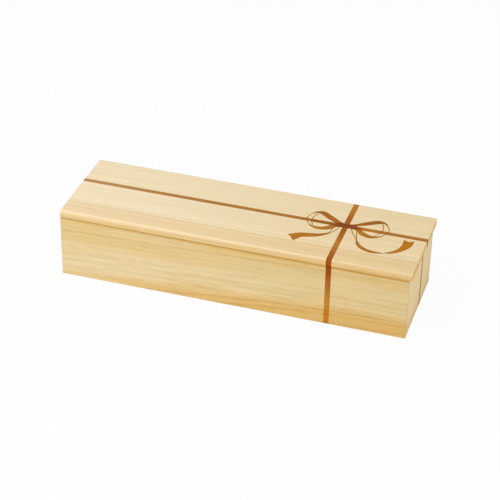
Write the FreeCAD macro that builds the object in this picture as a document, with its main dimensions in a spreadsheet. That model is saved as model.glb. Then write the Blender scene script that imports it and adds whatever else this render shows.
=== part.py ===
import FreeCAD, Part
import os
import Sketcher

# Wooden box for sweets with a lift-off lid, in millimetres, +Z up.
# The origin is the middle of the body's underside. +X is to the right and +Y to the back.
# Four wall boards meet in rebated corners, and the bottom is let into rebates from below.
# The lid is one board with two battens under it, which drop inside the walls and locate it.
# Headless steel pins hold the corners, the bottom and the battens.

# Driving dimensions
SIZES = [
    ("body_length", 300.0, "outside length of the body"),
    ("body_width", 90.0, "outside width of the body"),
    ("wall_height", 57.0, "height of the four walls"),
    ("wall_thickness", 6.0, "thickness of the wall boards"),
    ("corner_rebate", 3.0, "depth of the rebates across the ends of the front and back boards"),
    ("panel_thickness", 4.0, "thickness of the bottom panel"),
    ("panel_rebate", 3.0, "depth of the rebate that the bottom panel sits in"),
    ("panel_gap", 0.2, "gap round the bottom panel, in which it swells"),
    ("lid_thickness", 6.0, "thickness of the lid board"),
    ("lid_overhang", 1.0, "how far the centred lid stands out beyond each wall"),
    ("lid_nose_radius", 3.0, "rounding along the lid's front top edge"),
    ("lid_play_along", 1.8, "play of the centred battens at each end wall"),
    ("lid_play_across", 0.8, "play of the centred battens at the front and back walls"),
    ("lid_rest_gap", 0.4, "what is left of the play where the lid is pushed right and forward"),
    ("batten_width", 12.0, "width of each lid batten, along the box"),
    ("batten_height", 6.0, "how far each lid batten reaches down into the body"),
    ("batten_lead", 1.0, "chamfer round the underside of each batten"),
    ("arris", 0.4, "rounding of the sanded outer edges"),
    ("pin_radius", 0.32, "radius of the headless pins"),
    ("pin_sink", 0.5, "how far each pin is driven below the surface"),
    ("corner_pin_bite", 9.0, "how far a corner pin reaches into the front or back board"),
    ("corner_pin_margin", 12.0, "from the body's underside and rim to the nearest corner pin"),
    ("bottom_pin_bite", 8.0, "how far a bottom pin reaches into its wall"),
    ("bottom_pin_margin", 30.0, "from a corner to the nearest bottom pin"),
    ("batten_pin_cover", 1.6, "wood left between a batten pin's tip and the lid's top"),
    ("batten_pin_margin", 10.0, "from a batten's end to the nearest pin"),
]

# Counts of pins
CORNER_PIN_COUNT = 3
LONG_SIDE_PIN_COUNT = 4
SHORT_SIDE_PIN_COUNT = 2
BATTEN_PIN_COUNT = 3

# Lengths worked out from the driving dimensions
TONGUE = "(Sizes.wall_thickness - Sizes.corner_rebate)"
PANEL_INSET = "(Sizes.wall_thickness - Sizes.panel_rebate)"
END_BOARD_LENGTH = f"(Sizes.body_width - 2 * {TONGUE})"
PANEL_LENGTH = f"(Sizes.body_length - 2 * {PANEL_INSET} - 2 * Sizes.panel_gap)"
PANEL_WIDTH = f"(Sizes.body_width - 2 * {PANEL_INSET} - 2 * Sizes.panel_gap)"
LID_LENGTH = "(Sizes.body_length + 2 * Sizes.lid_overhang)"
LID_WIDTH = "(Sizes.body_width + 2 * Sizes.lid_overhang)"
LID_SHIFT_RIGHT = "(Sizes.lid_play_along - Sizes.lid_rest_gap)"
LID_SHIFT_FORWARD = "(Sizes.lid_play_across - Sizes.lid_rest_gap)"
BATTEN_LENGTH = "(Sizes.body_width - 2 * Sizes.wall_thickness - 2 * Sizes.lid_play_across)"
BATTEN_INSET = "(Sizes.wall_thickness + Sizes.lid_play_along + Sizes.lid_overhang)"
CORNER_PIN_LENGTH = "(Sizes.wall_thickness - Sizes.pin_sink + Sizes.corner_pin_bite)"
BOTTOM_PIN_LENGTH = "(Sizes.panel_thickness - Sizes.pin_sink + Sizes.bottom_pin_bite)"
BATTEN_PIN_BITE = "(Sizes.lid_thickness - Sizes.batten_pin_cover)"
BATTEN_PIN_LENGTH = f"(Sizes.batten_height - Sizes.pin_sink + {BATTEN_PIN_BITE})"

HALF_TURN = FreeCAD.Rotation(FreeCAD.Vector(0, 0, 1), 180)
ON_THE_LINE = 1e-4

doc = FreeCAD.newDocument("SweetsBox")
sheet = doc.addObject("Spreadsheet::Sheet", "Sizes")


def fill_sheet():
    """Puts each driving dimension in column B, under its alias, beside its name and meaning."""
    for row, (alias, value, meaning) in enumerate(SIZES, start=1):
        sheet.set(f"A{row}", alias)
        sheet.set(f"B{row}", str(value))
        sheet.set(f"C{row}", meaning)
        sheet.setAlias(f"B{row}", alias)
    doc.recompute()


def size(alias):
    """The value of one driving dimension, in millimetres."""
    return float(sheet.get(alias))


def spaced(count, span, margin):
    """Expressions for points spread evenly over a span, the outer ones a margin from its ends."""
    return [f"({margin} + {i} * ({span} - 2 * {margin}) / {count - 1})" for i in range(count)]


def new_body(label):
    body = doc.addObject("PartDesign::Body", label)
    body.Label = label
    return body


def new_sketch(body, name, plane, offset="0"):
    """A sketch on one of the body's own origin planes, moved along the plane's normal."""
    sketch = body.newObject("Sketcher::SketchObject", f"{body.Label}_{name}")
    origin_plane = [f for f in body.Origin.OriginFeatures if f.Role == plane][0]
    sketch.AttachmentSupport = (origin_plane, "")
    sketch.MapMode = "FlatFace"
    sketch.setExpression("AttachmentOffset.Base.z", offset)
    return sketch


def place_point(sketch, geometry, point, across, up):
    """Ties a point of the sketch to the sketch's origin with two bound distances."""
    for kind, expression in (("DistanceX", across), ("DistanceY", up)):
        if expression == "0":
            axis = -2 if kind == "DistanceX" else -1
            sketch.addConstraint(Sketcher.Constraint("PointOnObject", geometry, point, axis))
        else:
            index = sketch.addConstraint(Sketcher.Constraint(kind, -1, 1, geometry, point, 1.0))
            sketch.setExpression(f"Constraints[{index}]", expression)


def draw_outline(sketch, corners):
    """A closed outline of straight lines, each corner a pair of expressions."""
    start = [FreeCAD.Vector(i + 1.0, (i * i) % 5 + 1.0, 0) for i in range(len(corners))]
    for i, here in enumerate(start):
        sketch.addGeometry(Part.LineSegment(here, start[(i + 1) % len(start)]), False)
    for i in range(len(corners)):
        following = (i + 1) % len(corners)
        sketch.addConstraint(Sketcher.Constraint("Coincident", i, 2, following, 1))
    for i, (across, up) in enumerate(corners):
        place_point(sketch, i, 1, across, up)


def draw_rectangle(sketch, left, low, right, high):
    draw_outline(sketch, [(left, low), (right, low), (right, high), (left, high)])


def draw_pin_holes(sketch, centres):
    """Circles of the pins' radius, each centre a pair of expressions."""
    for across, up in centres:
        circle = Part.Circle(FreeCAD.Vector(1, 1, 0), FreeCAD.Vector(0, 0, 1), 0.5)
        index = sketch.addGeometry(circle, False)
        radius = sketch.addConstraint(Sketcher.Constraint("Radius", index, 0.5))
        sketch.setExpression(f"Constraints[{radius}]", "Sizes.pin_radius")
        place_point(sketch, index, 3, across, up)


def pad(body, sketch, height):
    feature = body.newObject("PartDesign::Pad", f"{sketch.Label}_pad")
    feature.Profile = sketch
    feature.setExpression("Length", height)
    doc.recompute()


def pocket(body, sketch, depth=None, along_normal=False):
    """Cuts the sketch's shape against its plane's normal, or along it, to a depth or right through."""
    before = body.Shape.Volume
    feature = body.newObject("PartDesign::Pocket", f"{sketch.Label}_pocket")
    feature.Profile = sketch
    feature.Reversed = along_normal
    if depth is None:
        feature.Type = "ThroughAll"
    else:
        feature.setExpression("Length", depth)
    doc.recompute()
    if not body.Shape.Volume < before:
        raise RuntimeError(f"{feature.Label} cuts nothing")


def edges_on(body, **planes):
    """Names of the tip's edges that lie in every plane given, such as y=0, z=57."""
    names = []
    for number, edge in enumerate(body.Tip.Shape.Edges, start=1):
        box = edge.BoundBox
        reach = {"x": (box.XMin, box.XMax), "y": (box.YMin, box.YMax), "z": (box.ZMin, box.ZMax)}
        if all(abs(end - at) < ON_THE_LINE for axis, at in planes.items() for end in reach[axis]):
            names.append(f"Edge{number}")
    return names


def dress_edges(body, kind, edges, amount):
    """Rounds or chamfers the named edges of the body's tip by a bound amount."""
    base = body.Tip
    feature = body.newObject(f"PartDesign::{kind}", f"{body.Label}_{kind.lower()}")
    feature.Base = (base, sorted(set(edges)))
    feature.setExpression("Radius" if kind == "Fillet" else "Size", amount)
    doc.recompute()


def place(piece, x="0", y="0", z="0", turned=False):
    """Puts a piece at its bound place, turned half round about Z or not."""
    if turned:
        piece.Placement = FreeCAD.Placement(FreeCAD.Vector(), HALF_TURN)
    piece.setExpression("Placement.Base.x", x)
    piece.setExpression("Placement.Base.y", y)
    piece.setExpression("Placement.Base.z", z)


# Places of the pins, shared by the pins and the holes that they fill
CORNER_PIN_HEIGHTS = spaced(CORNER_PIN_COUNT, "Sizes.wall_height", "Sizes.corner_pin_margin")
BOTTOM_PINS_ALONG = spaced(LONG_SIDE_PIN_COUNT, "Sizes.body_length", "Sizes.bottom_pin_margin")
BOTTOM_PINS_ACROSS = spaced(SHORT_SIDE_PIN_COUNT, "Sizes.body_width", "Sizes.bottom_pin_margin")
BATTEN_PINS_ACROSS = spaced(BATTEN_PIN_COUNT, BATTEN_LENGTH, "Sizes.batten_pin_margin")
CORNER_PIN_DEPTH = f"({TONGUE} + Sizes.corner_rebate / 2)"
BOTTOM_PIN_DEPTH = f"({PANEL_INSET} + Sizes.panel_rebate / 2)"


# Front and back boards
# The board's own X runs along its length, and its outer face is the plane Y = 0.
def make_long_board(label):
    body = new_body(label)
    length = "Sizes.body_length"
    thickness = "Sizes.wall_thickness"
    shoulder = f"({length} - {thickness})"

    outline = new_sketch(body, "outline", "XY_Plane")
    draw_outline(outline, [
        ("0", "0"),
        (length, "0"),
        (length, TONGUE),
        (shoulder, TONGUE),
        (shoulder, thickness),
        (thickness, thickness),
        (thickness, TONGUE),
        ("0", TONGUE),
    ])
    pad(body, outline, "Sizes.wall_height")

    rebate = new_sketch(body, "panel_rebate", "YZ_Plane")
    draw_rectangle(rebate, PANEL_INSET, "0", thickness, "Sizes.panel_thickness")
    pocket(body, rebate, along_normal=True)

    for end, start, inward in (("left", thickness, True), ("right", shoulder, False)):
        holes = new_sketch(body, f"{end}_pin_holes", "YZ_Plane", start)
        draw_pin_holes(holes, [(CORNER_PIN_DEPTH, height) for height in CORNER_PIN_HEIGHTS])
        pocket(body, holes, "Sizes.corner_pin_bite", along_normal=inward)

    holes = new_sketch(body, "bottom_pin_holes", "XY_Plane", "Sizes.panel_thickness")
    draw_pin_holes(holes, [(along, BOTTOM_PIN_DEPTH) for along in BOTTOM_PINS_ALONG])
    pocket(body, holes, "Sizes.bottom_pin_bite", along_normal=True)

    dress_edges(body, "Fillet", edges_on(body, y=0), "Sizes.arris")
    return body


def make_front_board():
    body = make_long_board("front_board")
    place(body, x="-Sizes.body_length / 2", y="-Sizes.body_width / 2")
    return body


def make_back_board():
    body = make_long_board("back_board")
    place(body, x="Sizes.body_length / 2", y="Sizes.body_width / 2", turned=True)
    return body


# End boards
# The board's outer face is the plane X = 0, and its own Y runs along it, from tongue to tongue.
def make_end_board(label):
    body = new_body(label)
    thickness = "Sizes.wall_thickness"

    outline = new_sketch(body, "outline", "XY_Plane")
    draw_rectangle(outline, "0", "0", thickness, END_BOARD_LENGTH)
    pad(body, outline, "Sizes.wall_height")

    rebate = new_sketch(body, "panel_rebate", "XZ_Plane")
    draw_rectangle(rebate, PANEL_INSET, "0", thickness, "Sizes.panel_thickness")
    pocket(body, rebate)

    holes = new_sketch(body, "corner_pin_holes", "YZ_Plane")
    near = "Sizes.corner_rebate / 2"
    far = f"({END_BOARD_LENGTH} - {near})"
    draw_pin_holes(holes, [(y, height) for y in (near, far) for height in CORNER_PIN_HEIGHTS])
    pocket(body, holes, along_normal=True)

    holes = new_sketch(body, "bottom_pin_holes", "XY_Plane", "Sizes.panel_thickness")
    draw_pin_holes(holes, [(BOTTOM_PIN_DEPTH, f"({y} - {TONGUE})") for y in BOTTOM_PINS_ACROSS])
    pocket(body, holes, "Sizes.bottom_pin_bite", along_normal=True)

    outer_edges = edges_on(body, x=0, z=0) + edges_on(body, x=0, z=size("wall_height"))
    dress_edges(body, "Fillet", outer_edges, "Sizes.arris")
    return body


def make_left_end_board():
    body = make_end_board("left_end_board")
    place(body, x="-Sizes.body_length / 2", y=f"-{END_BOARD_LENGTH} / 2")
    return body


def make_right_end_board():
    body = make_end_board("right_end_board")
    place(body, x="Sizes.body_length / 2", y=f"{END_BOARD_LENGTH} / 2", turned=True)
    return body


# Bottom panel, let into the walls' rebates from below and flush with their undersides
def make_bottom_panel():
    body = new_body("bottom_panel")
    outline = new_sketch(body, "outline", "XY_Plane")
    draw_rectangle(outline, "0", "0", PANEL_LENGTH, PANEL_WIDTH)
    pad(body, outline, "Sizes.panel_thickness")

    holes = new_sketch(body, "pin_holes", "XY_Plane")
    edge = f"({PANEL_INSET} + Sizes.panel_gap)"
    near = "(Sizes.panel_rebate / 2 - Sizes.panel_gap)"
    along = [f"({x} - {edge})" for x in BOTTOM_PINS_ALONG]
    across = [f"({y} - {edge})" for y in BOTTOM_PINS_ACROSS]
    draw_pin_holes(holes, [(x, y) for x in along for y in (near, f"({PANEL_WIDTH} - {near})")])
    draw_pin_holes(holes, [(x, y) for x in (near, f"({PANEL_LENGTH} - {near})") for y in across])
    pocket(body, holes, along_normal=True)
    place(body, x=f"-{PANEL_LENGTH} / 2", y=f"-{PANEL_WIDTH} / 2")
    return body


# Lid board, with its front top edge rounded and the other outer edges sanded
def make_lid_board():
    body = new_body("lid_board")
    outline = new_sketch(body, "outline", "XY_Plane")
    draw_rectangle(outline, "0", "0", LID_LENGTH, LID_WIDTH)
    pad(body, outline, "Sizes.lid_thickness")

    holes = new_sketch(body, "pin_holes", "XY_Plane")
    middle = f"({BATTEN_INSET} + Sizes.batten_width / 2)"
    margin = f"(({LID_WIDTH} - {BATTEN_LENGTH}) / 2)"
    across = [f"({margin} + {y})" for y in BATTEN_PINS_ACROSS]
    draw_pin_holes(holes, [(x, y) for x in (middle, f"({LID_LENGTH} - {middle})") for y in across])
    pocket(body, holes, BATTEN_PIN_BITE, along_normal=True)

    top = size("lid_thickness")
    dress_edges(body, "Fillet", edges_on(body, y=0, z=top), "Sizes.lid_nose_radius")
    end = size("body_length") + 2 * size("lid_overhang")
    back = size("body_width") + 2 * size("lid_overhang")
    outer_edges = edges_on(body, y=0, z=0) + edges_on(body, y=back)
    outer_edges += edges_on(body, x=0) + edges_on(body, x=end)
    dress_edges(body, "Fillet", outer_edges, "Sizes.arris")
    place(
        body,
        x=f"-{LID_LENGTH} / 2 + {LID_SHIFT_RIGHT}",
        y=f"-{LID_WIDTH} / 2 - {LID_SHIFT_FORWARD}",
        z="Sizes.wall_height",
    )
    return body


# Lid battens, pinned and glued under the lid
# A batten's outer face is the plane X = 0, and its top is the plane Z = batten_height.
def make_batten(label):
    body = new_body(label)
    outline = new_sketch(body, "outline", "XY_Plane")
    draw_rectangle(outline, "0", "0", "Sizes.batten_width", BATTEN_LENGTH)
    pad(body, outline, "Sizes.batten_height")

    dress_edges(body, "Chamfer", edges_on(body, z=0), "Sizes.batten_lead")

    holes = new_sketch(body, "pin_holes", "XY_Plane")
    draw_pin_holes(holes, [("Sizes.batten_width / 2", y) for y in BATTEN_PINS_ACROSS])
    pocket(body, holes, along_normal=True)
    return body


def make_left_batten():
    body = make_batten("left_batten")
    place(
        body,
        x=f"-{LID_LENGTH} / 2 + {BATTEN_INSET} + {LID_SHIFT_RIGHT}",
        y=f"-{BATTEN_LENGTH} / 2 - {LID_SHIFT_FORWARD}",
        z="Sizes.wall_height - Sizes.batten_height",
    )
    return body


def make_right_batten():
    body = make_batten("right_batten")
    place(
        body,
        x=f"{LID_LENGTH} / 2 - {BATTEN_INSET} + {LID_SHIFT_RIGHT}",
        y=f"{BATTEN_LENGTH} / 2 - {LID_SHIFT_FORWARD}",
        z="Sizes.wall_height - Sizes.batten_height",
        turned=True,
    )
    return body


# Pins, each group one node of separate solids
def make_pins(label, length, lengthwise, starts):
    """Cylinders along +X or +Z, each starting at a point given as three expressions."""
    pins = []
    for number, (x, y, z) in enumerate(starts, start=1):
        pin = doc.addObject("Part::Cylinder", f"{label}_{number}")
        pin.setExpression("Radius", "Sizes.pin_radius")
        pin.setExpression("Height", length)
        if lengthwise:
            along_x = FreeCAD.Rotation(FreeCAD.Vector(0, 1, 0), 90)
            pin.Placement = FreeCAD.Placement(FreeCAD.Vector(), along_x)
        place(pin, x, y, z)
        pins.append(pin)
    group = doc.addObject("Part::Compound", label)
    group.Label = label
    group.Links = pins
    return group


def make_corner_pins():
    """Driven through the end boards into the ends of the front and back boards."""
    side = f"(Sizes.body_width / 2 - {CORNER_PIN_DEPTH})"
    left = "(Sizes.pin_sink - Sizes.body_length / 2)"
    right = f"(Sizes.body_length / 2 - Sizes.pin_sink - {CORNER_PIN_LENGTH})"
    starts = [(x, y, z) for x in (left, right) for y in (side, f"-{side}") for z in CORNER_PIN_HEIGHTS]
    return make_pins("corner_pins", CORNER_PIN_LENGTH, True, starts)


def make_bottom_pins():
    """Driven up through the edge of the bottom panel into the walls."""
    side = f"(Sizes.body_width / 2 - {BOTTOM_PIN_DEPTH})"
    end = f"(Sizes.body_length / 2 - {BOTTOM_PIN_DEPTH})"
    along = [f"({x} - Sizes.body_length / 2)" for x in BOTTOM_PINS_ALONG]
    across = [f"({y} - Sizes.body_width / 2)" for y in BOTTOM_PINS_ACROSS]
    starts = [(x, y, "Sizes.pin_sink") for x in along for y in (side, f"-{side}")]
    starts += [(x, y, "Sizes.pin_sink") for x in (end, f"-{end}") for y in across]
    return make_pins("bottom_pins", BOTTOM_PIN_LENGTH, False, starts)


def make_batten_pins():
    """Driven up through the battens into the lid, short of its top."""
    middle = f"({LID_LENGTH} / 2 - {BATTEN_INSET} - Sizes.batten_width / 2)"
    rows = (f"({LID_SHIFT_RIGHT} - {middle})", f"({LID_SHIFT_RIGHT} + {middle})")
    across = [f"({y} - {BATTEN_LENGTH} / 2 - {LID_SHIFT_FORWARD})" for y in BATTEN_PINS_ACROSS]
    underside = "(Sizes.wall_height - Sizes.batten_height + Sizes.pin_sink)"
    starts = [(x, y, underside) for x in rows for y in across]
    return make_pins("batten_pins", BATTEN_PIN_LENGTH, False, starts)


def check_document():
    """Stops before anything is written if an object failed."""
    for thing in doc.Objects:
        failed = [state for state in thing.State if state in ("Invalid", "Error")]
        if failed:
            raise RuntimeError(f"{thing.Label} is {', '.join(failed)}")


def write_parts(pieces):
    """Checks each piece's shape, then writes each to a STEP file named by its label."""
    for piece in pieces:
        if piece.Shape.isNull() or not piece.Shape.isValid():
            raise RuntimeError(f"{piece.Label} has no valid shape")
    os.makedirs("parts", exist_ok=True)
    for piece in pieces:
        piece.Shape.exportStep(f"parts/{piece.Label}.step")
        box = piece.Shape.BoundBox
        print(
            f"{piece.Label}: {len(piece.Shape.Solids)} solids, {piece.Shape.Volume:.2f} mm3,",
            f"X {box.XMin:.2f} to {box.XMax:.2f}, Y {box.YMin:.2f} to {box.YMax:.2f},",
            f"Z {box.ZMin:.2f} to {box.ZMax:.2f}",
        )


fill_sheet()
all_pieces = [
    make_front_board(),
    make_back_board(),
    make_left_end_board(),
    make_right_end_board(),
    make_bottom_panel(),
    make_corner_pins(),
    make_bottom_pins(),
    make_lid_board(),
    make_left_batten(),
    make_right_batten(),
    make_batten_pins(),
]
doc.recompute()
check_document()
write_parts(all_pieces)
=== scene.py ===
import math
from dataclasses import dataclass

import bmesh
import bpy
from mathutils import Matrix, Vector
from mathutils.geometry import delaunay_2d_cdt


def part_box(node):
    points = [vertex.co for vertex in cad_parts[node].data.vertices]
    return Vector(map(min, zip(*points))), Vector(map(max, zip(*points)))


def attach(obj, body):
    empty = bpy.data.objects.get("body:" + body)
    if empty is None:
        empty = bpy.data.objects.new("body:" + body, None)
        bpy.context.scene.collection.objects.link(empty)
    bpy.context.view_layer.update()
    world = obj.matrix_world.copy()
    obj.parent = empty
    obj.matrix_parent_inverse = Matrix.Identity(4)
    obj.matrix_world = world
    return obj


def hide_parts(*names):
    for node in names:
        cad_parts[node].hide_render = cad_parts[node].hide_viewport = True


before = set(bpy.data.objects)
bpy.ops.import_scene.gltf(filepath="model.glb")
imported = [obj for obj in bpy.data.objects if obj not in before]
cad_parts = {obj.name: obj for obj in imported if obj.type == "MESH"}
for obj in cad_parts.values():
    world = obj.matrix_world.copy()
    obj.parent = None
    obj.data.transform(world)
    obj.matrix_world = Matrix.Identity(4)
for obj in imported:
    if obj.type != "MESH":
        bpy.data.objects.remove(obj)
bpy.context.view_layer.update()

# The box is a long, low sweets box of pale softwood. Four rebated walls and a let-in bottom are closed
# by a loose lid with two battens under it. A gift ribbon with a bow is printed on the wood.
# Lengths and places are in millimetres, in the frame's own axes. Blender's own are in metres.

MM = 0.001

# Camera
AIM = (4.9, -5.2, 31.5)
CAMERA_DISTANCE = 1484.9
CAMERA_TO_THE_RIGHT = 16.556  # degrees round from straight ahead
CAMERA_ABOVE = 32.489  # degrees above the floor
CAMERA_ROLL = 1.3665  # degrees
CAMERA_LENS = 126.88  # for Blender's own width of film

# Printed ribbon
CROSS_STRIPE_X = 83.2
CROSS_STRIPE_WIDTH = 4.7
LID_STRIPE_Y = 8.5
END_STRIPE_Y = 6.4  # the body was printed apart from the lid, so its stripe lies a little off
LONG_STRIPE_WIDTH = 4.7
LONG_STRIPE_IN_LEFT_LOOP = (54.5, 72.0)  # from and to this X
LONG_STRIPE_IN_RIGHT_LOOP = (97.0, 106.5)
KNOT = (83.6, 8.8)
OUTLINE_WIDTH = 0.85  # the bow's bare parts are drawn with this line
OUTLINE_END = 0.6  # an outline's ends are this share of its width
EDGE_WIDTH = 0.5  # the darker line along its filled parts
EDGE_END = 0.25  # and the share of its ends
CURVE_STEP = 0.6  # length of one straight step along a printed curve
BEYOND = 1.0  # how far a stripe is drawn past the flat of the lid before it is trimmed

# Mesh
WELD = 0.002  # corners closer than this are one
FLAT = 0.999  # a face whose normal has this much along an axis is flat, or else rounded
OUTWARD = 0.3  # a face whose normal has more than this outward is on the outer side
SIDE_ON = 0.3  # a face whose normal has less than this across a stripe can show the stripe
UNDERSIDE = -0.9  # a face whose normal has less than this upward is on the underside
ON_CUT = 1e-8  # a corner this near a cut lies on it, in metres
TINY_AREA = 1e-14  # a face smaller than this is left out, in square metres
INSIDE = 1  # asks the triangulation for the faces inside the outlines alone
ON_OUTLINE = 1e-4  # a point this near a printed outline lies on it

WHITE = (1.0, 1.0, 1.0, 1.0)

# A noise goes from 0 to 1, but seldom far from the middle. A change is spread over one of these parts.
TIGHT = (0.35, 0.65)
USUAL = (0.3, 0.7)
WIDE = (0.25, 0.75)
WIDEST = (0.2, 0.8)


def colour(red, green, blue):
    """A colour written in 0 to 255 as the shaders want it."""
    parts = [value / 255 for value in (red, green, blue)]
    linear = [p / 12.92 if p <= 0.04045 else ((p + 0.055) / 1.055) ** 2.4 for p in parts]
    return (*linear, 1.0)


# Shader nodes


class Graph:
    """A node tree, with short ways to add nodes and to join them."""

    def __init__(self, tree):
        self.tree = tree
        self.tree.nodes.clear()

    def node(self, kind, inputs, **settings):
        made = self.tree.nodes.new(kind)
        for setting, value in settings.items():
            setattr(made, setting, value)
        for socket, value in inputs.items():
            if isinstance(value, bpy.types.NodeSocket):
                self.tree.links.new(value, made.inputs[socket])
            else:
                made.inputs[socket].default_value = value
        return made

    def maths(self, operation, *values):
        return self.node("ShaderNodeMath", dict(enumerate(values)), operation=operation).outputs[0]

    def vector(self, operation, *values):
        made = self.node("ShaderNodeVectorMath", dict(enumerate(values)), operation=operation)
        return made.outputs["Value" if operation in ("DOT_PRODUCT", "LENGTH") else "Vector"]

    def scaled(self, vector, factor):
        made = self.node("ShaderNodeVectorMath", {"Vector": vector, "Scale": factor}, operation="SCALE")
        return made.outputs["Vector"]

    def place(self):
        """The place on the piece, in millimetres."""
        return self.scaled(self.node("ShaderNodeTexCoord", {}).outputs["Object"], 1 / MM)

    def turned_to(self, direction):
        """1 where the surface faces this way, 0 where it is side-on and -1 where it faces away."""
        normal = self.node("ShaderNodeTexCoord", {}).outputs["Normal"]
        return self.vector("DOT_PRODUCT", normal, direction)

    def facing(self, direction):
        """How squarely the surface faces this way or the opposite way, from 0 to 1."""
        return self.maths("ABSOLUTE", self.turned_to(direction))

    def separate(self, vector):
        return self.node("ShaderNodeSeparateXYZ", {"Vector": vector}).outputs

    def noise(self, vector, detail, roughness=0.5):
        inputs = {"Vector": vector, "Scale": 1.0, "Detail": detail, "Roughness": roughness}
        return self.node("ShaderNodeTexNoise", inputs).outputs["Fac"]

    def noise_along(self, value):
        inputs = {"W": value, "Scale": 1.0, "Detail": 1.0}
        return self.node("ShaderNodeTexNoise", inputs, noise_dimensions="1D").outputs["Fac"]

    def between(self, value, low, high, at_low=0.0, at_high=1.0):
        """A smooth change from at_low to at_high while the value goes from low to high."""
        inputs = {"Value": value, "From Min": low, "From Max": high, "To Min": at_low, "To Max": at_high}
        made = self.node("ShaderNodeMapRange", inputs, interpolation_type="SMOOTHSTEP")
        return made.outputs["Result"]

    def bump(self, height, strength, depth):
        """The surface's normal over a fine relief of this depth in millimetres."""
        inputs = {"Strength": strength, "Distance": depth * MM, "Height": height}
        return self.node("ShaderNodeBump", inputs).outputs["Normal"]

    def mix(self, factor, first, second, blend="MIX"):
        inputs = {0: factor, 6: first, 7: second}
        return self.node("ShaderNodeMix", inputs, data_type="RGBA", blend_type=blend).outputs[2]

    def tint(self, factor, shade, by):
        """The colour, multiplied by another one where the factor is 1."""
        return self.mix(factor, shade, by, "MULTIPLY")

    def brighten(self, shade, factor):
        """The colour times a number."""
        grey = self.node("ShaderNodeCombineColor", {0: factor, 1: factor, 2: factor}).outputs[0]
        return self.tint(1.0, shade, grey)


def new_material(name):
    material = bpy.data.materials.new(name)
    material.use_nodes = True
    return material


def surface(graph, shade, rough, specular, normal, metallic=0.0):
    """Ends a material with its shader. What is the same all over is set on the shader itself."""
    inputs = {"Base Color": shade, "Roughness": rough, "Normal": normal}
    shader = graph.node("ShaderNodeBsdfPrincipled", inputs)
    shader.inputs["Specular IOR Level"].default_value = specular
    shader.inputs["Metallic"].default_value = metallic
    graph.node("ShaderNodeOutputMaterial", {"Surface": shader.outputs["BSDF"]})


# Wood


@dataclass
class Wood:
    """How one board was sawn from its tree, and its colours."""

    node: str
    along: tuple  # direction of the grain
    heart: tuple  # a place on the line of the tree's heart
    rings: float  # width of a year's ring
    seed: float
    face: tuple = (0, 0, 1)  # the way a broad side of it faces, on a wall the outer one
    pale: tuple = (240, 219, 176)
    deep: tuple = (234, 206, 152)
    deep_from: float = 500.0  # distance from the heart past which the deep tone takes over
    core: tuple = (226, 184, 116)  # the darker wood near the heart
    core_radius: float = 0.0
    core_blur: float = 3.0
    core_starts: float = -1000.0  # place along the grain where the core begins to show
    far_tint: tuple = (255, 255, 255)  # its colour is multiplied by this toward the grain's far end
    side_tint: tuple = (255, 255, 255)  # and by this on its narrow sides and its ends
    contrast: float = 0.35  # of the rings
    contrast_in_core: float = 0.5
    wander: float = 5.0  # how far the rings stray from round
    rim: float = 1000.0  # height of its rim, below which a painted shade of the lid's edge darkens its outer side
    crest_highlight_and_dulling: float = 0.0  # how strong the painted highlight along its rounded edge's crest is, and how far that edge is dulled below it
    gloss: float = 0.35
    roughness: float = 0.5


@dataclass
class Mark:
    """A mark of the wood, as a noise that is stretched along the grain."""

    long: float  # its length along the grain
    thick: float  # and its size across it
    seed: float = 0.0  # added to the board's, so that the marks don't follow one another
    detail: float = 1.0
    roughness: float = 0.5


BEND = Mark(170, 70)
RIPPLE = Mark(38, 16, seed=5)
BROAD_TONE = Mark(260, 9, seed=11, detail=3.0)
STREAK = Mark(240, 2.6, seed=17, detail=3.0, roughness=0.6)
FIBRE = Mark(14, 0.32, seed=23, detail=3.0, roughness=0.6)
PORE = Mark(5.5, 0.28, seed=29)
RING_BREAK = Mark(24, 3.5, seed=41, detail=2.0)
PORE_STARTS = (0.66, 0.74)  # only the top of its noise makes a pore
SEED_STEPS = (1.0, 1.7, 2.3)  # how far one step of the seed moves a noise, each way

# Growth rings
RIPPLE_SHARE = 0.22  # how far the ripple moves a ring, as a share of its wander
UNEVEN_STEP = 0.31  # how soon the width of the rings changes
UNEVEN_REACH = 2.2  # how many rings it shifts them by at most
RING_DARKENS = (0.4, 0.92)  # from and to these parts of a ring's width
RING_ENDS = (0.93, 1.0)
YEAR_STEP = 0.73  # how far apart two years' strengths are drawn
YEAR_STRENGTH = (0.25, 1.0)
BREAK_STRENGTH = (0.45, 1.3)  # the strength changes along a ring too

# What the colour is multiplied by. Over 255 brightens it.
LATE_WOOD = colour(212, 184, 138)  # the dark part of a ring
PORE_TINT = colour(222, 205, 178)
END_GRAIN_TINT = colour(234, 226, 202)
# a painted highlight along the crest of the lid's rounded front edge
CREST_HIGHLIGHT_TINT = colour(260, 262, 270)
# painted shade under the lid's edge, on the walls' outer sides
UNDER_LID_SHADE_TINT = colour(241, 215, 139)
STREAK_BRIGHTNESS = (0.955, 1.035)
FIBRE_BRIGHTNESS = (0.95, 1.04)
ARRIS_BRIGHTNESS = 1.02
PORE_SHARE = 0.5

# Tones of the sapwood and the core
BROAD_DEEP_SHARE = 0.6
OUTER_DEEP_SHARE = 0.7
OUTER_DEEP_BLUR = 25.0
CORE_RAGGEDNESS = 9.0  # how far streaks move the edge of the core
CORE_START_LENGTH = 120.0

# Where on a board a tint lies
HALF_LENGTH = 150  # of the box
UNDER_LID_SHADE_HEIGHT = 4.0  # of the strip of painted shade below the rim
UNDER_LID_SHADE_AT_LEFT = 0.75  # how strong that painted shade is at the left, of 1 at the right
ARRIS_REACH = (0.1, 1.3)  # the distance from an edge where its brightening and smoothing begin to fade, and where they end

# How squarely a surface faces a way, from 0 to 1, where it begins and ends to count as one of these
END_GRAIN_FACES = (0.6, 0.9)
OUTER_FACES = (0.75, 0.98)
NARROW_FACES = (0.05, 0.5)  # full below the first and none above the second, as in the next two
CREST_FACES = (0.88, 0.98)
DULL_FACES = (0.62, 0.84)
CREST_FOOT = (0.66, 0.82)  # the crest fades out again below these

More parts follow.
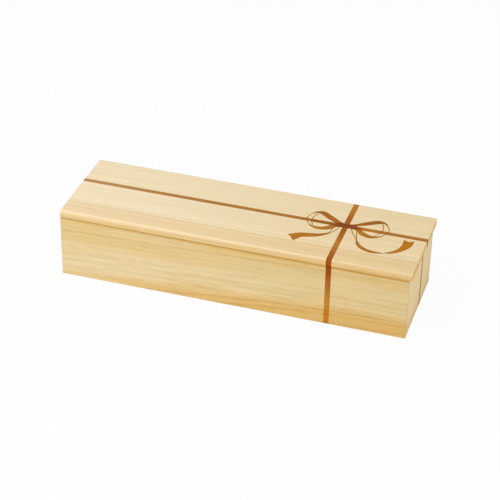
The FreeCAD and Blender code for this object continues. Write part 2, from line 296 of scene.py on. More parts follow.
# What is added to the roughness
FIBRE_ROUGHNESS = (-0.05, 0.07)
LATE_WOOD_ROUGHNESS = -0.07
END_GRAIN_ROUGHNESS = 0.16
ARRIS_ROUGHNESS = -0.06
DULL_ROUGHNESS = 0.25

# The fine relief: the share of each mark, the strength of the whole and its depth
LATE_WOOD_RELIEF = 0.35
FIBRE_RELIEF = 0.6
PORE_RELIEF = -0.5
RELIEF_STRENGTH = 0.35
RELIEF_DEPTH = 0.06


def board_coordinates(graph, wood):
    """Place in the board, in millimetres from the heart line: along the grain, and two ways across it."""
    along = Vector(wood.along).normalized()
    across = Vector((0, 0, 1)).cross(along).normalized()
    offset = graph.vector("SUBTRACT", graph.place(), wood.heart)
    ways = (along, across, along.cross(across))
    x, y, z = [graph.vector("DOT_PRODUCT", offset, way) for way in ways]
    return graph.node("ShaderNodeCombineXYZ", {"X": x, "Y": y, "Z": z}).outputs[0]


def marked(graph, wood, place, mark):
    """The noise of a mark of the wood, from 0 to 1."""
    start = [(wood.seed + mark.seed) * step for step in SEED_STEPS]
    size = (1 / mark.long, 1 / mark.thick, 1 / mark.thick)
    place = graph.vector("MULTIPLY_ADD", place, size, start)
    return graph.noise(place, mark.detail, mark.roughness)


def near_arris(graph, wood):
    """1 at the board's edges, 0 a little way in from them."""
    low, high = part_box(wood.node)
    middle, half = (low + high) / 2 / MM, (high - low) / 2 / MM
    offset = graph.vector("ABSOLUTE", graph.vector("SUBTRACT", graph.place(), middle))
    x, y, z = graph.separate(graph.vector("SUBTRACT", half, offset))
    nearest = graph.maths("MINIMUM", x, y)
    second = graph.maths("MINIMUM", graph.maths("MAXIMUM", x, y), z)
    return graph.between(graph.maths("MAXIMUM", nearest, second), *ARRIS_REACH, 1.0, 0.0)


def growth_rings(graph, wood, place):
    """The distance from the heart, bent as real grain is, and how dark each place in a ring is."""
    bend = graph.maths("SUBTRACT", marked(graph, wood, place, BEND), 0.5)
    ripple = graph.maths("SUBTRACT", marked(graph, wood, place, RIPPLE), 0.5)
    radius = graph.vector("LENGTH", graph.vector("MULTIPLY", place, (0, 1, 1)))
    radius = graph.maths("MULTIPLY_ADD", bend, wood.wander, radius)
    radius = graph.maths("MULTIPLY_ADD", ripple, wood.wander * RIPPLE_SHARE, radius)
    count = graph.maths("DIVIDE", radius, wood.rings)
    uneven = graph.noise_along(graph.maths("MULTIPLY_ADD", count, UNEVEN_STEP, wood.seed))
    count = graph.maths("MULTIPLY_ADD", uneven, UNEVEN_REACH, count)
    part = graph.maths("FRACT", count)
    dark = graph.between(part, *RING_DARKENS)
    dark = graph.maths("MULTIPLY", dark, graph.between(part, *RING_ENDS, 1.0, 0.0))
    year = graph.maths("MULTIPLY_ADD", graph.maths("FLOOR", count), YEAR_STEP, wood.seed)
    strength = graph.between(graph.noise_along(year), *USUAL, *YEAR_STRENGTH)
    broken = graph.between(marked(graph, wood, place, RING_BREAK), *TIGHT, *BREAK_STRENGTH)
    strength = graph.maths("MULTIPLY", strength, broken)
    return radius, graph.maths("MULTIPLY", dark, strength)


def wood_colour(graph, wood, place, radius, dark, fibre):
    """Sapwood from pale to deep, the warmer core, and the dark part of each ring."""
    along = graph.separate(place)["X"]
    broad = graph.between(marked(graph, wood, place, BROAD_TONE), *USUAL, 0.0, BROAD_DEEP_SHARE)
    outer = graph.between(radius, wood.deep_from, wood.deep_from + OUTER_DEEP_BLUR, 0.0, OUTER_DEEP_SHARE)
    shade = graph.mix(graph.maths("ADD", broad, outer), colour(*wood.pale), colour(*wood.deep))

    streak = marked(graph, wood, place, STREAK)
    ragged = graph.maths("MULTIPLY_ADD", graph.maths("SUBTRACT", streak, 0.5), CORE_RAGGEDNESS, radius)
    inside, outside = wood.core_radius - wood.core_blur, wood.core_radius + wood.core_blur
    core = graph.between(ragged, inside, outside, 1.0, 0.0)
    started = graph.between(along, wood.core_starts, wood.core_starts + CORE_START_LENGTH)
    core = graph.maths("MULTIPLY", core, started)
    shade = graph.mix(core, shade, colour(*wood.core))

    contrast = graph.between(core, 0.0, 1.0, wood.contrast, wood.contrast_in_core)
    shade = graph.tint(graph.maths("MULTIPLY", dark, contrast), shade, LATE_WOOD)
    shade = graph.brighten(shade, graph.between(streak, *WIDE, *STREAK_BRIGHTNESS))
    shade = graph.brighten(shade, graph.between(fibre, *WIDE, *FIBRE_BRIGHTNESS))
    return graph.tint(graph.between(along, -HALF_LENGTH, HALF_LENGTH), shade, colour(*wood.far_tint))


def under_lid_shade(graph, wood, place):
    """Where the painted shade under the lid's edge lies: 1 on a wall's outer side by the rim and at the
    right, less toward the left, and 0 elsewhere.
    """
    height = graph.separate(graph.place())["Z"]
    near = graph.between(height, wood.rim - UNDER_LID_SHADE_HEIGHT, wood.rim - UNDER_LID_SHADE_HEIGHT / 4)
    along = graph.between(graph.separate(place)["X"], -HALF_LENGTH, HALF_LENGTH, UNDER_LID_SHADE_AT_LEFT, 1.0)
    outer = graph.between(graph.turned_to(wood.face), *OUTER_FACES)
    return graph.maths("MULTIPLY", graph.maths("MULTIPLY", near, along), outer)


def wood_material(name, wood, ink=None):
    """Softwood under a thin satin finish. An ink, if there is one, is soaked into the same grain."""
    material = new_material(name)
    graph = Graph(material.node_tree)
    place = board_coordinates(graph, wood)
    radius, dark = growth_rings(graph, wood, place)
    fibre = marked(graph, wood, place, FIBRE)
    pore = graph.between(marked(graph, wood, place, PORE), *PORE_STARTS)
    end = graph.between(graph.facing(Vector(wood.along).normalized()), *END_GRAIN_FACES)
    arris = near_arris(graph, wood)
    squarely = graph.facing(wood.face)
    narrow = graph.between(squarely, *NARROW_FACES, 1.0, 0.0)
    # a painted highlight along the crest of the rounded edge, and a duller finish below it
    crest = graph.between(squarely, *CREST_FACES, wood.crest_highlight_and_dulling, 0.0)
    crest = graph.maths("MULTIPLY", crest, graph.between(squarely, *CREST_FOOT))
    dull = graph.between(squarely, *DULL_FACES, wood.crest_highlight_and_dulling, 0.0)

    shade = wood_colour(graph, wood, place, radius, dark, fibre)
    shade = graph.tint(graph.maths("MULTIPLY", pore, PORE_SHARE), shade, PORE_TINT)
    shade = graph.tint(narrow, shade, colour(*wood.side_tint))
    shade = graph.tint(end, shade, END_GRAIN_TINT)
    # painted shade under the lid's edge
    shade = graph.tint(under_lid_shade(graph, wood, place), shade, UNDER_LID_SHADE_TINT)
    # painted highlight along the crest
    shade = graph.tint(crest, shade, CREST_HIGHLIGHT_TINT)
    shade = graph.brighten(shade, graph.between(arris, 0.0, 1.0, 1.0, ARRIS_BRIGHTNESS))
    if ink:
        shade = ink(graph, shade, fibre)

    low, high = [wood.roughness + change for change in FIBRE_ROUGHNESS]
    rough = graph.between(fibre, *WIDEST, low, high)
    rough = graph.maths("MULTIPLY_ADD", dark, LATE_WOOD_ROUGHNESS, rough)
    rough = graph.maths("MULTIPLY_ADD", end, END_GRAIN_ROUGHNESS, rough)
    rough = graph.maths("MULTIPLY_ADD", arris, ARRIS_ROUGHNESS, rough)
    rough = graph.maths("MULTIPLY_ADD", dull, DULL_ROUGHNESS, rough)

    relief = graph.maths("MULTIPLY", fibre, FIBRE_RELIEF)
    relief = graph.maths("MULTIPLY_ADD", dark, LATE_WOOD_RELIEF, relief)
    relief = graph.maths("MULTIPLY_ADD", pore, PORE_RELIEF, relief)
    bump = graph.bump(relief, RELIEF_STRENGTH, RELIEF_DEPTH)
    surface(graph, shade, rough, INK_GLOSS if ink else wood.gloss, bump)
    return material


# Print

INK_GLOSS = 0.04
BLOTCH_SIZE = 9
INK_BRIGHTNESS = (0.93, 1.07)  # from the darkest fibre to the palest
THIN_AT_LEFT = 0.12  # the share of the print's strength that is lost at the left end
LID_NOSE = (-46.4, 60.0)  # Y and Z of the lid's rounded front edge, where the ribbon turns down
NOSE_STRETCH = 2.4  # a step in Y from that edge counts as many steps in Z as this

# How far from the knot and from that edge the heavier ink begins to fade and where it has gone, and how
# far blotches move those distances
BY_KNOT = (8.0, 30.0)
BLOTCH_BY_KNOT = 24.0
BY_NOSE = (3.0, 48.0)
BLOTCH_BY_NOSE = 20.0


def printed(light, heavy):
    """An ink that soaks into the wood. It lies heavier by the knot and over the lid's front edge."""

    def soak(graph, shade, fibre):
        place = graph.place()
        blotch = graph.maths("SUBTRACT", graph.noise(graph.scaled(place, 1 / BLOTCH_SIZE), 2.0), 0.5)

        def near(spot, stretch, reach, blotch_reach):
            away = graph.vector("MULTIPLY", graph.vector("SUBTRACT", place, spot), stretch)
            distance = graph.maths("MULTIPLY_ADD", blotch, blotch_reach, graph.vector("LENGTH", away))
            return graph.between(distance, *reach, 1.0, 0.0)

        by_knot = near((*KNOT, 0), (1, 1, 0), BY_KNOT, BLOTCH_BY_KNOT)
        by_nose = near((0, *LID_NOSE), (0, NOSE_STRETCH, 1), BY_NOSE, BLOTCH_BY_NOSE)
        tone = graph.mix(graph.maths("MAXIMUM", by_knot, by_nose), colour(*light), colour(*heavy))
        tone = graph.brighten(tone, graph.between(fibre, *USUAL, *INK_BRIGHTNESS))
        thin = graph.between(graph.separate(place)["X"], -HALF_LENGTH, 0, THIN_AT_LEFT, 0.0)
        return graph.tint(1.0, shade, graph.mix(thin, tone, WHITE))

    return soak


# Each ink's colour, and its colour where it lies heavier
INKS = {
    "stripe": printed((201, 146, 66), (182, 109, 40)),
    "front": printed((226, 180, 100), (178, 98, 46)),
    "long": printed((186, 139, 72), (180, 122, 52)),
    "end": printed((190, 150, 78), (180, 130, 60)),
    "lit": printed((201, 146, 62), (198, 138, 58)),
    "shaded": printed((169, 119, 38), (160, 104, 36)),
    "upper": printed((171, 119, 50), (181, 116, 42)),
    "arm": printed((180, 120, 52), (196, 122, 50)),
    "lower": printed((193, 147, 48), (197, 142, 44)),
    "tail": printed((193, 136, 42), (184, 132, 44)),
    "tip": printed((205, 142, 34), (196, 139, 36)),
    "turned": printed((168, 126, 48), (162, 118, 44)),
    "double": printed((160, 106, 40), (152, 84, 26)),
    "edge": printed((164, 116, 44), (156, 102, 40)),
    "line": printed((197, 141, 22), (193, 136, 22)),
    "knot": printed((158, 94, 30), (150, 83, 26)),
    "crossing": printed((146, 92, 30), (139, 82, 27)),
}
FILLS = ("upper", "arm", "lower", "tail", "tip")  # the inks of the bow's filled parts


def curve_through(points, closed=False):
    """Points evenly close together on a smooth curve through the given ones."""
    count = len(points)
    places = [Vector(p) for p in points]
    line = []
    for i in range(count if closed else count - 1):
        start, end = places[i], places[(i + 1) % count]
        before = places[i - 1] if closed or i > 0 else start * 2 - end
        after = places[(i + 2) % count] if closed or i + 2 < count else end * 2 - start
        leave, arrive = (end - before) / 2, (after - start) / 2
        steps = max(2, round((end - start).length / CURVE_STEP))
        for k in range(steps):
            t = k / steps
            ease = t * t * (3 - 2 * t)
            turn = leave * (t * (1 - t) ** 2) - arrive * (t * t * (1 - t))
            line.append(start * (1 - ease) + end * ease + turn)
    return line if closed else line + [places[-1]]


def band(line, widths):
    """The outline of a band that follows a line, with its width at each point of it."""
    left, right = [], []
    for i, place in enumerate(line):
        way = line[min(i + 1, len(line) - 1)] - line[max(i - 1, 0)]
        across = Vector((-way.y, way.x)).normalized() * (widths[i] / 2)
        left.append(place + across)
        right.append(place - across)
    return left + right[::-1]


def stroke(points, width, end):
    """A thin line drawn through the points. Its ends are this share of its width.

    It is as wide as it gets a tenth of its length from them.
    """
    line = curve_through(points)
    last = len(line) - 1
    shares = [min(1.0, end + 10 * (1 - end) * min(i, last - i) / last) for i in range(last + 1)]
    return band(line, [width * share for share in shares])


def outline(*points):
    """A thin line where the ribbon's far side is bare."""
    return [("line", stroke(points, OUTLINE_WIDTH, OUTLINE_END))]


def turned(width, *points):
    """Where the ribbon turns edge-on: this wide at first, and as thin as an outline at its end."""
    line = curve_through(points)
    last = len(line) - 1
    widths = [width + (OUTLINE_WIDTH - width) * i / last for i in range(last + 1)]
    return [("turned", band(line, widths))]


def filled(ink, one_side, other_side, notch=()):
    """A filled stretch of ribbon between its two sides, each drawn with a darker line."""
    shape = curve_through(one_side) + [Vector(p) for p in notch] + curve_through(other_side)[::-1]
    edges = [("edge", stroke(side, EDGE_WIDTH, EDGE_END)) for side in (one_side, other_side)]
    return [(ink, shape), *edges]


def rectangle(x_low, x_high, y_low, y_high):
    corners = ((x_low, y_low), (x_high, y_low), (x_high, y_high), (x_low, y_high))
    return [Vector(corner) for corner in corners]


def left_loop():
    over = filled(
        "arm",
        [
            (80.5, 12.2), (78.0, 13.3), (75.0, 15.4), (71.0, 18.4),
            (67.0, 21.2), (63.4, 23.9), (60.2, 25.2), (56.9, 25.0),
        ],
        [
            (80.5, 6.0), (76.0, 8.9), (72.5, 11.4), (69.5, 13.5),
            (66.7, 15.1), (63.9, 17.1), (61.3, 19.2), (57.4, 21.3),
        ],
    )
    under = filled(
        "lower",
        [
            (56.6, 0.7), (58.4, 0.3), (60.5, 0.2), (62.8, 0.4),
            (65.2, 1.2), (67.8, 3.0), (70.0, 5.4), (73.5, 8.5),
        ],
        [
            (56.4, -1.3), (58.4, -2.4), (60.6, -3.1), (63.2, -3.4),
            (66.6, -2.7), (70.6, -1.0), (73.2, 1.6), (76.5, 5.5),
        ],
    )
    crest = turned(3.5, (57.3, 23.1), (55.3, 22.5), (53.4, 21.1), (51.9, 19.2))
    foot = turned(2.2, (57.0, -0.5), (55.6, 0.0), (54.4, 1.1), (53.4, 2.4))
    outer = outline(
        (52.6, 20.2), (51.2, 17.9), (50.2, 15.6), (49.4, 12.6),
        (49.3, 9.2), (50.2, 6.4), (51.8, 4.2), (54.0, 1.6),
    )
    inner = outline(
        (57.6, 21.4), (55.8, 18.9), (54.6, 16.2), (53.8, 12.8),
        (53.7, 10.0), (54.3, 7.0), (55.2, 4.4), (56.8, 1.0),
    )
    return over + under + crest + foot + outer + inner


def right_loop():
    over = filled(
        "upper",
        [
            (86.2, 12.0), (88.6, 13.1), (92.0, 15.2), (97.0, 19.1),
            (102.0, 22.8), (106.0, 25.0), (109.0, 25.7), (112.6, 24.6),
        ],
        [
            (86.2, 6.0), (91.0, 10.2), (94.0, 13.0), (97.0, 14.2),
            (99.5, 15.5), (103.0, 17.7), (106.5, 19.8), (112.3, 22.4),
        ],
    )
    under = filled(
        "lower",
        [
            (94.0, 9.0), (98.0, 5.3), (100.5, 3.3), (103.0, 1.8),
            (105.5, 0.9), (108.0, 0.6), (110.2, 0.8), (112.2, 1.4),
        ],
        [
            (91.0, 6.0), (95.5, 2.0), (98.0, -0.7), (101.0, -2.1),
            (104.0, -3.1), (106.6, -3.2), (109.4, -2.3), (112.4, -0.5),
        ],
    )
    crest = turned(2.8, (112.0, 23.6), (113.6, 22.9), (115.0, 21.5), (116.2, 19.6))
    foot = turned(2.0, (112.0, 0.5), (113.4, 1.3), (114.9, 2.7), (116.4, 4.6))
    outer = outline(
        (115.6, 20.7), (117.0, 18.2), (118.3, 15.2), (119.2, 12.2),
        (118.9, 9.2), (117.9, 6.8), (116.8, 5.0), (114.6, 2.6),
    )
    inner = outline(
        (111.0, 22.8), (112.2, 20.0), (113.1, 17.0), (113.8, 14.0),
        (113.9, 11.4), (113.3, 8.4), (112.0, 5.4), (109.4, 1.4),
    )
    return over + under + crest + foot + outer + inner


def left_tail():
    tail = filled(
        "tail",
        [
            (73.0, -5.5), (70.0, -7.5), (66.0, -9.8), (62.0, -10.9),
            (57.0, -12.0), (52.0, -13.1), (47.5, -15.0), (40.7, -19.5),
        ],
        [
            (73.6, -5.9), (72.0, -8.5), (68.5, -11.9), (64.5, -14.7),
            (60.5, -16.4), (56.0, -18.1), (51.8, -20.6), (47.4, -27.0),
        ],
        notch=[(44.0, -21.4)],
    )
    near = outline((74.6, 5.4), (74.0, 2.6), (73.6, 0.0), (73.3, -2.6), (72.9, -4.8), (71.6, -6.8))
    far = outline((78.4, 5.6), (77.8, 2.4), (76.9, -0.6), (75.6, -3.0), (74.1, -5.2), (72.0, -8.2))
    return tail + near + far


def right_tail():
    curl = filled(
        "tail",
        [
            (96.5, -9.0), (97.2, -13.0), (98.9, -16.9), (101.4, -19.9),
            (105.0, -22.3), (109.5, -24.0), (114.0, -24.5), (123.0, -22.5),
        ],
        [
            (97.0, -9.2), (99.0, -12.6), (101.6, -16.1), (104.8, -18.4),
            (108.5, -20.5), (113.0, -21.6), (118.0, -22.0), (123.0, -22.3),
        ],
    )
    end = filled(
        "tip",
        [
            (123.0, -21.0), (126.6, -18.8), (130.0, -15.4), (132.4, -11.6),
            (133.8, -7.4), (134.4, -3.0), (134.0, 3.6),
        ],
        [
            (123.0, -21.8), (127.6, -20.7), (130.6, -19.2), (133.8, -16.6),
            (137.1, -12.8), (139.9, -8.6), (141.8, -4.0), (142.4, 3.9),
        ],
        notch=[(138.3, 1.4)],
    )
    near = outline(
        (88.8, 5.6), (90.0, 2.4), (91.3, -0.4), (93.0, -3.2),
        (94.8, -6.0), (96.3, -8.6), (97.3, -11.0),
    )
    far = outline((93.8, 4.0), (94.5, 1.0), (95.1, -2.0), (95.8, -5.0), (96.4, -7.6), (96.9, -10.4))
    return curl + end + near + far


def knot():
    points = [(78.6, 13.0), (83.3, 11.9), (88.0, 12.6), (91.8, 10.9), (93.4, 8.0), (92.0, 5.6)]
    points += [(87.5, 5.5), (83.3, 5.9), (79.0, 5.3), (75.0, 5.2), (73.7, 7.6), (74.8, 11.0)]
    return [("knot", curve_through(points, closed=True))]


def stripes(low, high):
    """The two stripes that cross on the lid. The long one is darker in one loop and paler in the other."""
    cross = (CROSS_STRIPE_X - CROSS_STRIPE_WIDTH / 2, CROSS_STRIPE_X + CROSS_STRIPE_WIDTH / 2)
    long = (LID_STRIPE_Y - LONG_STRIPE_WIDTH / 2, LID_STRIPE_Y + LONG_STRIPE_WIDTH / 2)
    return [
        ("stripe", rectangle(*cross, low.y - BEYOND, high.y + BEYOND)),
        ("long", rectangle(low.x - BEYOND, high.x + BEYOND, *long)),
        ("shaded", rectangle(*LONG_STRIPE_IN_LEFT_LOOP, *long)),
        ("lit", rectangle(*LONG_STRIPE_IN_RIGHT_LOOP, *long)),
    ]


def ink_of(layers):
    """The ink of a place under these printed layers, or None on bare wood.

    The knot, the edges of filled parts and the long stripe inside the loops hide the rest. Elsewhere
    two layers print darker, but the bow's thin lines don't show over its filled parts.
    """
    if "knot" in layers:
        return "crossing" if "stripe" in layers else "knot"
    for ink in ("edge", "lit", "shaded"):
        if ink in layers:
            return ink
    if any(ink in FILLS for ink in layers):
        layers = [ink for ink in layers if ink not in ("line", "turned")]
    if "turned" in layers:
        return "turned"
    if len(layers) > 1:
        return "double"
    return layers[0] if layers else None


# Boards


def joined_copy(node):
    """A copy of a CAD board's mesh, with its faces joined at their edges."""
    mesh = bmesh.new()
    mesh.from_mesh(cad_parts[node].data)
    bmesh.ops.remove_doubles(mesh, verts=mesh.verts, dist=WELD * MM)
    bmesh.ops.dissolve_degenerate(mesh, edges=mesh.edges, dist=WELD * MM / 4)
    return mesh


def cut(mesh, axis, middle, width):
    """Divides every face that crosses either side of a stripe square to the axis."""
    normal = Vector((axis == 0, axis == 1, axis == 2))
    for place in (middle - width / 2, middle + width / 2):
        everything = mesh.verts[:] + mesh.edges[:] + mesh.faces[:]
        point = normal * place * MM
        bmesh.ops.bisect_plane(mesh, geom=everything, plane_co=point, plane_no=normal, dist=ON_CUT)


def within(place, middle, width):
    """Whether a place in metres lies on a stripe."""
    return abs(place / MM - middle) < width / 2


def board(name, node, body, materials, mesh):
    """A shown board that stands for its CAD node. Flat faces are flat, and rounded edges are smooth."""
    for face in mesh.faces:
        face.smooth = max(abs(part) for part in face.normal) < FLAT
    data = bpy.data.meshes.new(name)
    for material in materials:
        data.materials.append(material)
    mesh.to_mesh(data)
    mesh.free()
    piece = bpy.data.objects.new(name, data)
    bpy.context.scene.collection.objects.link(piece)
    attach(piece, body)
    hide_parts(node)
    return piece


def wall(wood, stripe, ink):
    """A wall of the box, with the ribbon's stripe on its outer side."""
    axis, middle, width = stripe
    node = wood.node
    mesh = joined_copy(node)
    cut(mesh, axis, middle, width)
    for face in mesh.faces:
        striped = within(face.calc_center_median()[axis], middle, width)
        face.material_index = int(striped and face.normal.dot(Vector(wood.face)) > OUTWARD)
    materials = [wood_material(node + "_wood", wood), wood_material(node + "_print", wood, INKS[ink])]
    return board("printed_" + node, node, "box", materials, mesh)


def top_outline(mesh, top):
    """The corners round the open top of the lid, in order."""
    open_edges = [edge for edge in mesh.edges if len(edge.link_faces) == 1]
    rim = [edge for edge in open_edges if min(v.co.z for v in edge.verts) > top - WELD * MM]
    follows = {}
    for edge in rim:
        for corner in edge.verts:
            follows.setdefault(corner, []).append(edge.other_vert(corner))
    ring = [rim[0].verts[0], follows[rim[0].verts[0]][0]]
    while len(ring) < len(rim):
        ways = follows[ring[-1]]
        ring.append(ways[1] if ways[0] is ring[-2] else ways[0])
    return ring


def anticlockwise(ring):
    """The same ring of points, turning left."""
    area = sum(ring[i - 1].cross(ring[i]) for i in range(len(ring)))
    return ring if area > 0 else ring[::-1]


def fill_top(mesh, top, kinds):
    """Closes the top of the lid with faces that follow the printed outlines."""
    ring = [Vector(corner.co.xy) / MM for corner in top_outline(mesh, top)]
    low = Vector((min(p.x for p in ring), min(p.y for p in ring)))
    high = Vector((max(p.x for p in ring), max(p.y for p in ring)))
    bow = left_loop() + right_loop() + left_tail() + right_tail() + knot()
    layers = [("bare", ring), *stripes(low, high), *bow]
    points, faces = [], []
    for _, shape in layers:
        faces.append(list(range(len(points), len(points) + len(shape))))
        points += anticlockwise(shape)
    corners, _, triangles, _, _, sources = delaunay_2d_cdt(points, [], faces, INSIDE, ON_OUTLINE)
    made = [mesh.verts.new((p.x * MM, p.y * MM, top)) for p in corners]
    for triangle, source in zip(triangles, sources):
        if 0 not in source:  # the first layer is the bare lid, and this face lies outside it
            continue
        face = mesh.faces.new([made[i] for i in triangle])
        if face.calc_area() < TINY_AREA:
            mesh.faces.remove(face)
            continue
        face.normal_update()
        if face.normal.z < 0:
            face.normal_flip()
        ink = ink_of([layers[i][0] for i in source if i > 0])
        face.material_index = kinds.index(ink)
    loose = [v for v in made if not v.link_faces]
    bmesh.ops.delete(mesh, geom=loose, context="VERTS")
    bmesh.ops.remove_doubles(mesh, verts=mesh.verts, dist=WELD * MM / 2)


def lid(wood):
    """The lid board, with the ribbon and the bow on its top and the ribbon down its edges."""
    mesh = joined_copy("lid_board")
    cut(mesh, 0, CROSS_STRIPE_X, CROSS_STRIPE_WIDTH)
    cut(mesh, 1, LID_STRIPE_Y, LONG_STRIPE_WIDTH)
    kinds = [None, *INKS]
    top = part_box("lid_board")[1].z
    for face in mesh.faces:
        middle = face.calc_center_median()
        across = within(middle.x, CROSS_STRIPE_X, CROSS_STRIPE_WIDTH) and abs(face.normal.x) < SIDE_ON
        along = within(middle.y, LID_STRIPE_Y, LONG_STRIPE_WIDTH) and abs(face.normal.y) < SIDE_ON
        if face.normal.z > UNDERSIDE and (across or along):
            face.material_index = kinds.index("stripe" if across else "long")
    flat = [f for f in mesh.faces if all(v.co.z > top - WELD * MM / 4 for v in f.verts)]
    bmesh.ops.delete(mesh, geom=flat, context="FACES")
    fill_top(mesh, top, kinds)
    materials = [wood_material("lid_wood", wood)]
    materials += [wood_material("lid_print_" + kind, wood, INKS[kind]) for kind in INKS]
    return board("printed_lid_board", "lid_board", "lid", materials, mesh)


BRIGHT_WIRE = colour(176, 174, 168)
DULL_WIRE = colour(140, 134, 124)
WIRE_CLOUDS = 2.5  # in a millimetre
WIRE_SCRATCHES = (9, 9, 0.9)  # in a millimetre each way, so that they run up and down
WIRE_DULLS = (0.35, 0.7)
WIRE_ROUGHENS = (0.7, 1.3)  # of clouds and scratches together
WIRE_ROUGHNESS = (0.28, 0.5)
WIRE_GLOSS = 0.5
WIRE_RELIEF_STRENGTH = 0.2
WIRE_RELIEF_DEPTH = 0.01


def steel():
    """Drawn wire with dull clouds and faint scratches."""
    material = new_material("pin_wire")
    graph = Graph(material.node_tree)
    cloud = graph.noise(graph.scaled(graph.place(), WIRE_CLOUDS), 3.0, 0.6)
    scratch = graph.noise(graph.vector("MULTIPLY", graph.place(), WIRE_SCRATCHES), 2.0)
    shade = graph.mix(graph.between(cloud, *WIRE_DULLS), BRIGHT_WIRE, DULL_WIRE)
    rough = graph.between(graph.maths("ADD", cloud, scratch), *WIRE_ROUGHENS, *WIRE_ROUGHNESS)
    bump = graph.bump(scratch, WIRE_RELIEF_STRENGTH, WIRE_RELIEF_DEPTH)
    surface(graph, shade, rough, WIRE_GLOSS, bump, metallic=1.0)
    return material


def finish_node(node, material):
    """Gives a CAD node that stays as it is its own surface."""
    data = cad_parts[node].data
    data.materials.clear()
    data.materials.append(material)


def make_walls():
    cross = (0, CROSS_STRIPE_X, CROSS_STRIPE_WIDTH)
    long = (1, END_STRIPE_Y, LONG_STRIPE_WIDTH)
    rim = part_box("front_board")[1].z / MM
    front = Wood(
        "front_board", along=(1, -0.062, -0.004), heart=(0, -15, -15), rings=4.2, seed=1.0,
        face=(0, -1, 0), pale=(249, 228, 183), deep=(243, 211, 146), deep_from=50,
        core=(242, 202, 127), core_radius=40, core_blur=5, far_tint=(248, 245, 231),
        side_tint=(261, 261, 259), contrast=0.26, contrast_in_core=0.42, rim=rim,
    )
    back = Wood(
        "back_board", along=(1, 0, -0.03), heart=(0, 70, -55), rings=4.2, seed=2.0, face=(0, 1, 0),
        core=(228, 182, 110), core_radius=66, core_blur=4, wander=7.0, rim=rim,
    )
    left = Wood(
        "left_end_board", along=(0, 1, 0.02), heart=(-170, 0, -40), rings=4.4, seed=3.0,
        face=(-1, 0, 0), rim=rim,
    )
    right = Wood(
        "right_end_board", along=(0, 1, -0.02), heart=(168, 0, -36), rings=4.4, seed=4.0, face=(1, 0, 0),
        pale=(242, 217, 160), deep=(234, 202, 128), core=(232, 193, 116), core_radius=48, core_blur=6,
        contrast=0.3, rim=rim,
    )
    wall(front, cross, "front")
    wall(back, cross, "front")
    wall(left, long, "end")
    wall(right, long, "end")


def make_lid():
    lid(
        Wood(
            "lid_board", along=(1, 0.006, 0), heart=(0, -125, 30), rings=3.1, seed=5.0,
            pale=(243, 224, 187), deep=(237, 217, 174), core=(236, 210, 163), core_radius=104,
            core_blur=1.8, core_starts=-230, far_tint=(252, 247, 234), side_tint=(267, 258, 235),
            contrast=0.08, contrast_in_core=0.34, wander=1.6, crest_highlight_and_dulling=1.0, gloss=0.5, roughness=0.38,
        )
    )
    left = Wood("left_batten", along=(0, 1, 0), heart=(-110, 0, 20), rings=2.8, seed=7.0)
    right = Wood("right_batten", along=(0, 1, 0), heart=(160, 0, 10), rings=2.9, seed=8.0)
    for batten in (left, right):
        finish_node(batten.node, wood_material(batten.node + "_wood", batten))


def make_inside():
    panel = Wood(
        "bottom_panel", along=(1, 0.01, 0.035), heart=(0, 4, -34), rings=3.6, seed=6.0,
        contrast=0.5, wander=7.0,
    )
    finish_node(panel.node, wood_material("bottom_panel_wood", panel))
    wire = steel()
    for node in ("corner_pins", "bottom_pins", "batten_pins"):
        finish_node(node, wire)


# Studio

FLOOR_SIZE = 40.0  # in metres
FLOOR_GREY = (0.8, 0.8, 0.8, 1.0)
FLOOR_GLOW = 0.955  # the share of the floor's white that is its own, so that it is as bright as the sky
SKY_LIGHT = 0.3  # how bright the sky is as a lamp. It is seen at 1.

# The lamps: place and size in metres, and power in watts
LAMPS = {
    "key": ((-0.55, -0.75, 1.15), 0.5, 10.4),
    "fill": ((1.6, -0.5, 0.55), 1.2, 10.5),
    "overhead": ((-0.35, 0.2, 1.5), 0.5, 4.8),
}


def background_ray(graph):
    """1 for rays that show the background: seen directly, mirrored or through glass."""
    path = graph.node("ShaderNodeLightPath", {}).outputs
    seen = graph.maths("MAXIMUM", path["Is Camera Ray"], path["Is Glossy Ray"])
    return graph.maths("MAXIMUM", seen, path["Is Transmission Ray"])


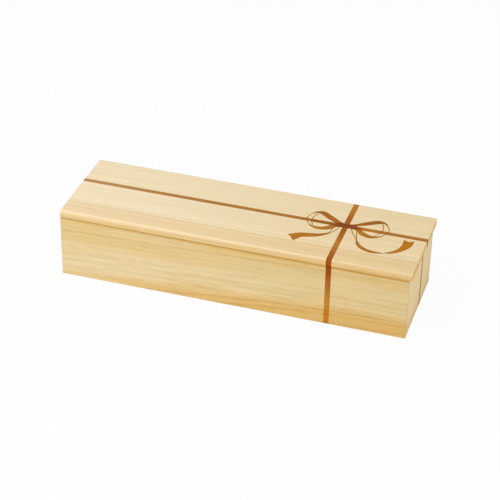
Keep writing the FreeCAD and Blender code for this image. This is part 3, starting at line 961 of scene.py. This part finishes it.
def make_floor():
    """A white floor. The rest of its white comes from the lamps, and so the box leaves a shadow on it."""
    material = new_material("studio_floor")
    graph = Graph(material.node_tree)
    matt = graph.node("ShaderNodeBsdfDiffuse", {"Color": FLOOR_GREY}).outputs[0]
    glow = graph.node("ShaderNodeEmission", {"Color": WHITE, "Strength": 1.0}).outputs[0]
    share = graph.maths("MULTIPLY", background_ray(graph), FLOOR_GLOW)
    shown = graph.node("ShaderNodeMixShader", {0: share, 1: matt, 2: glow}).outputs[0]
    graph.node("ShaderNodeOutputMaterial", {"Surface": shown})
    mesh = bmesh.new()
    bmesh.ops.create_grid(mesh, x_segments=1, y_segments=1, size=FLOOR_SIZE / 2)
    data = bpy.data.meshes.new("floor")
    mesh.to_mesh(data)
    mesh.free()
    data.materials.append(material)
    floor = bpy.data.objects.new("floor", data)
    bpy.context.scene.collection.objects.link(floor)


def make_world():
    """A sky that is white where it is seen, and lights the box faintly from all sides."""
    world = bpy.data.worlds.new("studio")
    world.use_nodes = True
    bpy.context.scene.world = world
    graph = Graph(world.node_tree)
    light = graph.node("ShaderNodeBackground", {"Color": WHITE, "Strength": SKY_LIGHT}).outputs[0]
    white = graph.node("ShaderNodeBackground", {"Color": WHITE, "Strength": 1.0}).outputs[0]
    shown = graph.node("ShaderNodeMixShader", {0: background_ray(graph), 1: light, 2: white}).outputs[0]
    graph.node("ShaderNodeOutputWorld", {"Surface": shown})


def make_lamp(name, place, size, power):
    """A square area lamp that faces the middle of the box."""
    data = bpy.data.lights.new(name, "AREA")
    data.shape = "SQUARE"
    data.size = size
    data.energy = power
    lamp = bpy.data.objects.new(name, data)
    lamp.location = Vector(place)
    lamp.rotation_euler = (Vector(AIM) * MM - lamp.location).to_track_quat("-Z", "Y").to_euler()
    bpy.context.scene.collection.objects.link(lamp)


def make_camera():
    round_to, up = math.radians(CAMERA_TO_THE_RIGHT), math.radians(CAMERA_ABOVE)
    level = math.cos(up)
    back = Vector((math.sin(round_to) * level, -math.cos(round_to) * level, math.sin(up)))
    data = bpy.data.cameras.new("camera")
    data.lens = CAMERA_LENS
    camera = bpy.data.objects.new("camera", data)
    roll = Matrix.Rotation(math.radians(CAMERA_ROLL), 3, "Z")
    turn = back.to_track_quat("Z", "Y").to_matrix() @ roll
    place = (Vector(AIM) + back * CAMERA_DISTANCE) * MM
    camera.matrix_world = Matrix.Translation(place) @ turn.to_4x4()
    bpy.context.scene.collection.objects.link(camera)
    bpy.context.scene.camera = camera


make_camera()
make_walls()
make_lid()
make_inside()
make_floor()
make_world()
for lamp, (place, size, power) in LAMPS.items():
    make_lamp(lamp, place, size, power)
bpy.context.scene.view_settings.view_transform = "Standard"
